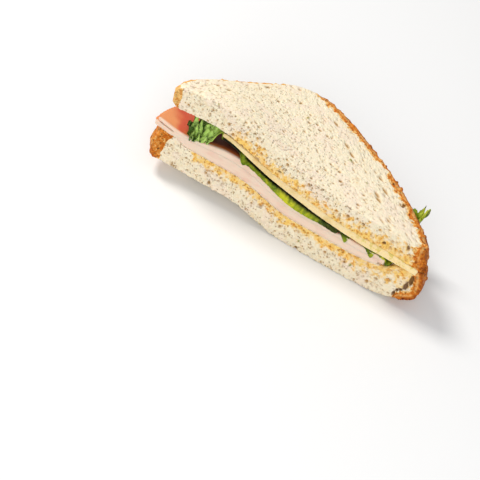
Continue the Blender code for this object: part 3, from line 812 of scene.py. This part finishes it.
# Painted light: where the frill's facet faces the light, by x and back in y.
FRILL_PAINTED_LIGHT, FRILL_PAINTED_LIGHT_BACK = (-53.5, 4.6), (8.0, 4.0)
FRILL_FRESH, FRESH_BACK = (-49.0, 3.0), 20.0
TEETH, TEETH_BACK, TEETH_DROP, TEETH_REACH = (-57.0, -5.0), (0.0, 1.6), 1.5, 0.6
HOLLOW, HOLLOW_SHADE = (-31.0, -4.0), (-30.5, -1.5)
CURL, CURL_BACK, CURL_LIT_BACK, CURL_DROP = (-33.0, 1.9), (0.0, 2.5), (1.0, 2.0), 2.6
# The band: a lighter part, then painted shade on its right part.
BAND_LIGHT, BAND_SHADE, BAND_SHADE_END = (-2.0, 13.0), (11.0, 10.0), (27.0, 4.0)
SMALL_FRILLS = ((31.5, 1.7), (46.4, 2.0))
SMALL_FRILL_DROP, SMALL_FRILL_REACH, SMALL_FRILL_BACK = 1.2, 0.9, (0.0, 1.2)
LAST_TIP, LAST_TIP_LIT = (57.0, 3.0), (57.0, 3.5)
RECESS, RIGHT_RECESS, RIGHT_TOOTHED = 2.6, (25.0, 3.0), (26.0, 4.0)
NOTCH, SMALL_NOTCH = 0.4, 0.25
SHADE_START, SHADE_BACK, SHADE_BACK_END = (-47.5, 2.0), (0.75, 1.0), (28.0, 4.0)
PAST_CRUST, PAST_CRUST_BACK = (40.0, 6.0), (30.0, 6.0)


def leaf_outline():
    """The whole leaf in plan: frilled and toothed, dented on the left, one tongue past the crust."""
    points = []
    for k in range(OUTLINE_STEPS):
        a = 2.0 * pi * k / OUTLINE_STEPS
        scallop = FRILL_DEPTH * abs(sin(FRILL_COUNT * a / 2.0))
        scallop += UNEVEN_FRILL * sin(2.3 * FRILL_COUNT * a)
        tooth = TOOTH * abs(sin(TOOTH_COUNT * a + 2.0 * sin(9.0 * a)))
        tooth += SMALL_TOOTH * abs(sin(SMALL_TOOTH_COUNT * a))
        tongue = TONGUE_LENGTH * bump(a, radians(TONGUE_ANGLE), radians(TONGUE_SPREAD))
        dent = LEAF_DENT * bump(a, radians(LEAF_DENT_ANGLE), radians(LEAF_DENT_SPREAD))
        oval = 1.0 / hypot(cos(a) / LEAF_REACH[0], sin(a) / LEAF_REACH[1])
        radius = oval - FRILL_DEPTH - 0.7 + scallop + tooth + tongue - dent
        x, y = LEAF_MIDDLE[0] + radius * cos(a), LEAF_MIDDLE[1] + radius * sin(a)
        teeth = 1.5 * abs(sin(1.4 * y)) - 1.1 * abs(sin(3.3 * y + 1.3 * sin(1.1 * y)))
        slanted = min(SLANT_START + SLANT * y, SLANT_END) + teeth
        points.append((max(x, slanted), y))
    return points


def evenly(points, count):
    """Resample an open line to the given number of points, both ends kept."""
    lengths = [0.0]
    for (x0, y0), (x1, y1) in zip(points, points[1:]):
        lengths.append(lengths[-1] + hypot(x1 - x0, y1 - y0))
    result = []
    k = 0
    for i in range(count):
        want = lengths[-1] * i / (count - 1)
        while k < len(points) - 2 and lengths[k + 1] < want:
            k += 1
        step = lengths[k + 1] - lengths[k]
        t = (want - lengths[k]) / step if step else 0.0
        (x0, y0), (x1, y1) = points[k], points[k + 1]
        result.append((x0 + t * (x1 - x0), y0 + t * (y1 - y0)))
    return result


def small_frills(x):
    """1 at the two small frills that hang over the turkey on the right, 0 between them."""
    return sum(bump(x, middle, width) for middle, width in SMALL_FRILLS)


def leaf_recess(x):
    """How far the leaf's edge lies behind the cut: on the right it shows only at small frills."""
    right = RECESS * past(x, RIGHT_RECESS)
    right *= 1.0 - small_frills(x) - bump(x, *LAST_TIP)
    toothed = past(x, FRILL_TOOTHED) + past(x, RIGHT_TOOTHED)
    notch = NOTCH * abs(sin(x / 1.1 + sin(x / 2.1))) + SMALL_NOTCH * abs(sin(x / 0.5))
    return max(right, 0.0) + toothed * notch - SMALL_FRILL_REACH * small_frills(x)


def half_leaf():
    """The leaf's outline behind the cut: along the cut from left to right, then back round the rim."""
    outline = [point for point in leaf_outline() if point[1] > 0.0]
    start = max(range(len(outline)), key=lambda k: outline[k][0] - 10.0 * outline[k][1])
    rim = outline[start:] + outline[:start]
    left, right = (rim[-1][0], 0.0), (rim[0][0], 0.0)
    cut = evenly([left, right], CUT_COLUMNS + 1)
    cut = [(x, y + leaf_recess(x)) for x, y in cut]
    return cut[:-1] + evenly([cut[-1]] + rim, RIM_COLUMNS + 1)[:-1]


def leaf_share(x, y):
    """Where the leaf hangs between the turkey (0) and the cheese (1)."""
    tip = past(x, FRILL_TIP)
    hollow = past(x, HOLLOW) * (1.0 - tip)
    height = HANG_LOW + HANG_RAISE * max(tip, past(x, HANG_START))
    hang = height * past(y, (-0.2, 2.0 + tip * 8.0)) + (1.0 - height) * past(y, HANG_BACK)
    level = hollow + (1.0 - hollow) * hang
    ruffle = 0.5 + 0.5 * sin(2.0 * pi * x / RUFFLE + 1.7 * sin(y / 5.0)) * cos(y / 4.2 + 0.6)
    return level * (1.0 - RUFFLE_SHARE * past(y, RUFFLE_BACK) * ruffle)


LEAF_LOOKS = ("light", "margin", "shade", "fresh")


def leaf_looks(x, y, frilled, on_rim, past_crust, crest):
    """The leaf's looks at a spot, each from 0 to 1, in the order of their names."""
    # Painted light on the frill's facet that faces the light.
    light = max(bump(x, *FRILL_PAINTED_LIGHT) * until(y, FRILL_PAINTED_LIGHT_BACK), 0.7 * bump(x, *BAND_LIGHT),
                0.3 * small_frills(x), 0.2 * past_crust, 0.4 * bump(x, *LAST_TIP))
    dark = max(frilled * past(x, FRILL_DARK), 0.6 * on_rim, 0.25)
    # Painted shade: behind the cut, over the hollow and along the band's right part.
    inside = max(past(y, SHADE_BACK), past(x, HOLLOW_SHADE))
    inside *= 1.0 - bump(x, *LAST_TIP_LIT)
    inside *= 1.0 - bump(x, *CURL) * until(y, CURL_LIT_BACK)
    band = 0.8 * past(x, BAND_SHADE) * until(x, BAND_SHADE_END)
    shade = past(x, SHADE_START) * until(y, SHADE_BACK_END) * max(inside, band)
    fresh = until(x, FRILL_FRESH) if y < FRESH_BACK else 0.3 * past_crust
    return clamp(light + crest), clamp(dark), clamp(shade), clamp(fresh)


def build_lettuce(sizes, material):
    """One frilled leaf between the turkey and what lies on it."""
    floors = [solid_faces("turkey_slice_upper"), solid_faces("bread_bottom")]
    roofs = [solid_faces("cheese_slice"), solid_faces("bread_top")]
    outline = half_leaf()
    columns, rings = len(outline), LEAF_RINGS
    middle_x, middle_y = LEAF_MIDDLE
    curl = sizes.leaf_curl / MM

    def level(trees, x, y, start, direction):
        for tree in trees:
            spot = tree.ray_cast(Vector((x, y, start)), Vector((0.0, 0.0, direction)))[0]
            if spot is not None:
                return spot.z
        return None

    bm = bmesh.new()
    for name in LEAF_LOOKS:
        bm.verts.layers.float.new(name)
    bmesh.ops.create_grid(bm, x_segments=columns, y_segments=rings, size=0.5)
    place = {vert: (round((vert.co.x + 0.5) * columns) % columns, round((vert.co.y + 0.5) * rings))
             for vert in bm.verts}
    shape = {}
    for column, (rim_x, rim_y) in enumerate(outline):
        low, high = FIRST_LOW, FIRST_HIGH
        for ring in range(rings + 1):
            share = (ring / rings) ** RING_CROWDING
            x = middle_x + share * (rim_x - middle_x)
            y = middle_y + share * (rim_y - middle_y)
            here_low = level(floors, x, max(y, 0.7), SEARCH_TOP, -1.0)
            here_high = level(roofs, x, max(y, 0.1), SEARCH_BOTTOM, 1.0)
            if here_low is not None and here_high is not None:
                low, high = here_low, here_high
            to_rim = (1.0 - share) * hypot(rim_x - middle_x, rim_y - middle_y)
            on_rim = 1.0 - ease(to_rim / MARGIN_WIDTH) if column > CUT_COLUMNS else 0.0
            fold = noise.noise(Vector((x / FOLD, y / FOLD, 1.0)))
            sway = noise.noise(Vector((x / FOLD, y / FOLD, 7.0)))
            ripple = noise.noise(Vector((x / RIPPLE, y / RIPPLE, 3.0)))
            frilled = max(on_rim, past(x, FRILL))
            wave = leaf_share(x, y) + 0.1 * ripple
            wave += frilled * (FOLD_SHARE * fold + RIPPLE_SHARE * ripple)
            gap = max(high - low - PLAY, LEAST_GAP)
            past_crust = past(x, PAST_CRUST) * past(y, PAST_CRUST_BACK)
            out = hypot(x - middle_x, y - middle_y)
            lift = TONGUE_RISE * past(out, TONGUE_RISE_START) * past_crust
            teeth = past(x, TEETH) * until(y, TEETH_BACK)
            drop = SMALL_FRILL_DROP * small_frills(x) * until(y, SMALL_FRILL_BACK)
            drop += CURL_DROP * bump(x, *CURL) * until(y, CURL_BACK)
            drop += TEETH_DROP * teeth * abs(sin(1.9 * x + sin(1.3 * x)))
            z = low + OVER_FLOOR + clamp(wave) * gap + lift - drop
            x += curl * on_rim * sway
            y += curl * on_rim * fold - TEETH_REACH * teeth
            # Painted light on the frilled margin where its folds rise; elsewhere the folds vary the
            # tone.
            crest = 0.7 * fold + frilled * (ripple + 0.2 * fold + 0.2)
            looks = leaf_looks(x, y, frilled, on_rim, past_crust, crest)
            shape[(column, ring)] = (Vector((x, y, z)), looks)
    layers = bm.verts.layers.float.values()
    for vert, key in place.items():
        vert.co, looks = shape[key]
        for layer, value in zip(layers, looks):
            vert[layer] = value
    bmesh.ops.remove_doubles(bm, verts=bm.verts, dist=LEAF_MERGE)
    bmesh.ops.recalc_face_normals(bm, faces=bm.faces)
    piece = keep_piece(bm, "lettuce_leaf_frilled", {}, material, ["lettuce_leaf"])
    wall = piece.modifiers.new("leaf thickness", "SOLIDIFY")
    wall.thickness = sizes.leaf_thickness
    wall.offset = 0.0
    return piece


# Stage.

CAMERA_PLACE = (132.32, -674.27, 533.63)
CAMERA_RIGHT = Vector((0.85936, 0.41024, 0.30528))
CAMERA_UP = Vector((-0.48822, 0.48067, 0.72842))
CAMERA_BACK = Vector((0.15209, -0.77502, 0.61337))
CAMERA_ASIDE = radians(1.291)
SENSOR, FOCAL = 36.0, 127.5
NEAREST, FARTHEST = 0.01, 20.0

FLOOR_HALF, FLOOR_DROP, FLOOR_TONE = 4.0, 0.0001, (0.88, 0.88, 0.88, 1.0)
STUDIO_TONE, STUDIO_STRENGTH = (1.0, 1.0, 1.0, 1.0), 0.5
LIT_PLACE = Vector((0.0, 0.0, 0.02))

# The lights: name, place, size, power and tint.
LIGHTS = (("key", (-0.85, 0.1, 1.05), 0.45, 11.0, (1.0, 0.985, 0.96)),
          ("fill", (0.25, -1.1, 0.6), 0.8, 7.0, (0.98, 0.99, 1.0)))


def build_camera():
    """The camera looks down on the cut face, rolled as the sandwich leans."""
    right = CAMERA_RIGHT * cos(CAMERA_ASIDE) - CAMERA_BACK * sin(CAMERA_ASIDE)
    back = CAMERA_BACK * cos(CAMERA_ASIDE) + CAMERA_RIGHT * sin(CAMERA_ASIDE)
    data = bpy.data.cameras.new("camera")
    data.sensor_width = SENSOR
    data.lens = FOCAL
    data.clip_start, data.clip_end = NEAREST, FARTHEST
    camera = bpy.data.objects.new("camera", data)
    turned = Matrix((right, CAMERA_UP, back)).transposed().to_4x4()
    camera.matrix_world = Matrix.Translation(TO_ROW @ Vector(CAMERA_PLACE)) @ turned
    bpy.context.scene.collection.objects.link(camera)
    bpy.context.scene.camera = camera


def build_light(name, place, size, power, tint):
    data = bpy.data.lights.new(name, "AREA")
    data.shape = "DISK"
    data.size = size
    data.energy = power
    data.color = tint
    light = bpy.data.objects.new(name, data)
    light.location = place
    light.rotation_euler = (Vector(place) - LIT_PLACE).to_track_quat("Z", "Y").to_euler()
    bpy.context.scene.collection.objects.link(light)


def build_stage():
    """A plain pale floor, soft studio light and the camera."""
    bm = bmesh.new()
    bmesh.ops.create_grid(bm, x_segments=1, y_segments=1, size=FLOOR_HALF)
    mesh = bpy.data.meshes.new("floor")
    bm.to_mesh(mesh)
    bm.free()
    floor = bpy.data.objects.new("floor", mesh)
    floor.location.z = -FLOOR_DROP
    finish = Finish("pale floor", {"Base Color": FLOOR_TONE, "Roughness": 0.7,
                                   "Specular IOR Level": 0.2})
    mesh.materials.append(finish.material)
    bpy.context.scene.collection.objects.link(floor)
    world = bpy.data.worlds.new("studio")
    world.use_nodes = True
    background = world.node_tree.nodes["Background"]
    background.inputs["Color"].default_value = STUDIO_TONE
    background.inputs["Strength"].default_value = STUDIO_STRENGTH
    bpy.context.scene.world = world
    for light in LIGHTS:
        build_light(*light)
    bpy.context.scene.view_settings.view_transform = "Standard"
    build_camera()


# Operators and panel.

class SANDWICH_OT_bread(bpy.types.Operator):
    """Make both slices of bread"""
    bl_idname = "sandwich.bread"
    bl_label = "Bread"

    def execute(self, context):
        sizes, colours = context.scene.sandwich_sizes, context.scene.sandwich_colours
        material = bread_material(colours)
        build_bread(LOWER_SLICE, sizes, material)
        build_bread(UPPER_SLICE, sizes, material)
        return {"FINISHED"}


class SANDWICH_OT_turkey(bpy.types.Operator):
    """Make both slices of turkey"""
    bl_idname = "sandwich.turkey"
    bl_label = "Turkey"

    def execute(self, context):
        material = turkey_material(context.scene.sandwich_colours)
        build_turkey("turkey_slice_lower", UNDER_TURKEY, BETWEEN_TURKEY, material)
        build_turkey("turkey_slice_upper", BETWEEN_TURKEY, OVER_TURKEY, material)
        return {"FINISHED"}


class SANDWICH_OT_cheese(bpy.types.Operator):
    """Make the slice of cheese"""
    bl_idname = "sandwich.cheese"
    bl_label = "Cheese"

    def execute(self, context):
        build_cheese(cheese_material(context.scene.sandwich_colours))
        return {"FINISHED"}


class SANDWICH_OT_lettuce(bpy.types.Operator):
    """Make the frilled lettuce leaf"""
    bl_idname = "sandwich.lettuce"
    bl_label = "Lettuce"

    def execute(self, context):
        build_lettuce(context.scene.sandwich_sizes, lettuce_material(context.scene.sandwich_colours))
        return {"FINISHED"}


class SANDWICH_OT_stage(bpy.types.Operator):
    """Make the floor, the lights and the camera"""
    bl_idname = "sandwich.stage"
    bl_label = "Stage"

    def execute(self, context):
        build_stage()
        return {"FINISHED"}


OPERATORS = (SANDWICH_OT_bread, SANDWICH_OT_turkey, SANDWICH_OT_cheese, SANDWICH_OT_lettuce,
             SANDWICH_OT_stage)


class SANDWICH_PT_panel(bpy.types.Panel):
    """The sandwich's operators, sizes and colours"""
    bl_idname = "SANDWICH_PT_panel"
    bl_label = "Sandwich"
    bl_space_type = "VIEW_3D"
    bl_region_type = "UI"
    bl_category = "Sandwich"

    def draw(self, context):
        for operator in OPERATORS:
            self.layout.operator(operator.bl_idname)
        for group in (context.scene.sandwich_sizes, context.scene.sandwich_colours):
            for name in group.bl_rna.properties.keys():
                if name not in {"rna_type", "name"}:
                    self.layout.prop(group, name)


CLASSES = (SandwichSizes, SandwichColours, *OPERATORS, SANDWICH_PT_panel)


def register():
    for made in CLASSES:
        bpy.utils.register_class(made)
    bpy.types.Scene.sandwich_sizes = PointerProperty(type=SandwichSizes)
    bpy.types.Scene.sandwich_colours = PointerProperty(type=SandwichColours)


def unregister():
    del bpy.types.Scene.sandwich_colours
    del bpy.types.Scene.sandwich_sizes
    for made in reversed(CLASSES):
        bpy.utils.unregister_class(made)


def main():
    register()
    bpy.ops.sandwich.stage()
    bpy.ops.sandwich.bread()
    bpy.ops.sandwich.turkey()
    bpy.ops.sandwich.cheese()
    bpy.ops.sandwich.lettuce()


if __name__ == "__main__":
    main()
